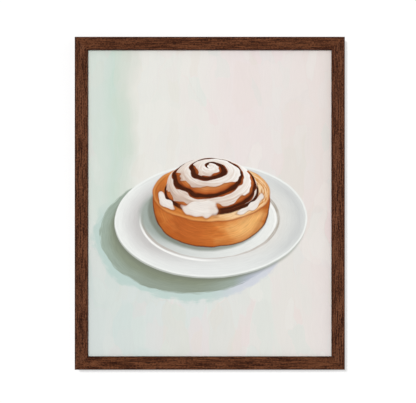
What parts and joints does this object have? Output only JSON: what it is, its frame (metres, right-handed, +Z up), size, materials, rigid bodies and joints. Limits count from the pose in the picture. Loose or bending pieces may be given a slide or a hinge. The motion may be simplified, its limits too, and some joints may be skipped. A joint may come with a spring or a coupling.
{
  "type": "framed art print",
  "caption": "Portrait art print of a bun on a plate, behind clear glazing in a flat dark walnut frame, with a sawtooth hanger and felt pads on its back.",
  "frame": {"origin": "the point on the wall plane behind the middle notch of the sawtooth hanger, where the wall's nail bears", "axes": "+Z up, -Y out of the picture towards the viewer, +Y towards the wall, +X to the viewer's right"},
  "size_m": [0.436, 0.0225, 0.5376],
  "materials": {
    "stained_walnut": "satin",
    "picture_glass": "polished",
    "art_paper": "matte",
    "mount_card": "matte",
    "hardboard": "matte",
    "zinc_plated_steel": "satin",
    "brass_plated_steel": "satin",
    "wool_felt": "matte"
  },
  "bodies": {
    "root": {"rail_top": "stained_walnut", "rail_bottom": "stained_walnut", "rail_left": "stained_walnut", "rail_right": "stained_walnut", "mitre_wedge_bottom_left_1": "zinc_plated_steel", "mitre_wedge_bottom_left_2": "zinc_plated_steel", "mitre_wedge_bottom_right_1": "zinc_plated_steel", "mitre_wedge_bottom_right_2": "zinc_plated_steel", "mitre_wedge_top_left_1": "zinc_plated_steel", "mitre_wedge_top_left_2": "zinc_plated_steel", "mitre_wedge_top_right_1": "zinc_plated_steel", "mitre_wedge_top_right_2": "zinc_plated_steel", "glazing": "picture_glass", "art_print": "art_paper", "mount_board": "mount_card", "backing_board": "hardboard", "retaining_tab_bottom_1": "zinc_plated_steel", "retaining_tab_bottom_2": "zinc_plated_steel", "retaining_tab_top_1": "zinc_plated_steel", "retaining_tab_top_2": "zinc_plated_steel", "retaining_tab_left_1": "zinc_plated_steel", "retaining_tab_left_2": "zinc_plated_steel", "retaining_tab_left_3": "zinc_plated_steel", "retaining_tab_right_1": "zinc_plated_steel", "retaining_tab_right_2": "zinc_plated_steel", "retaining_tab_right_3": "zinc_plated_steel", "sawtooth_hanger": "brass_plated_steel", "hanger_nail_left": "brass_plated_steel", "hanger_nail_right": "brass_plated_steel", "felt_pad_bottom_left": "wool_felt", "felt_pad_bottom_right": "wool_felt", "felt_pad_top_left": "wool_felt", "felt_pad_top_right": "wool_felt"}
  },
  "joints": []
}
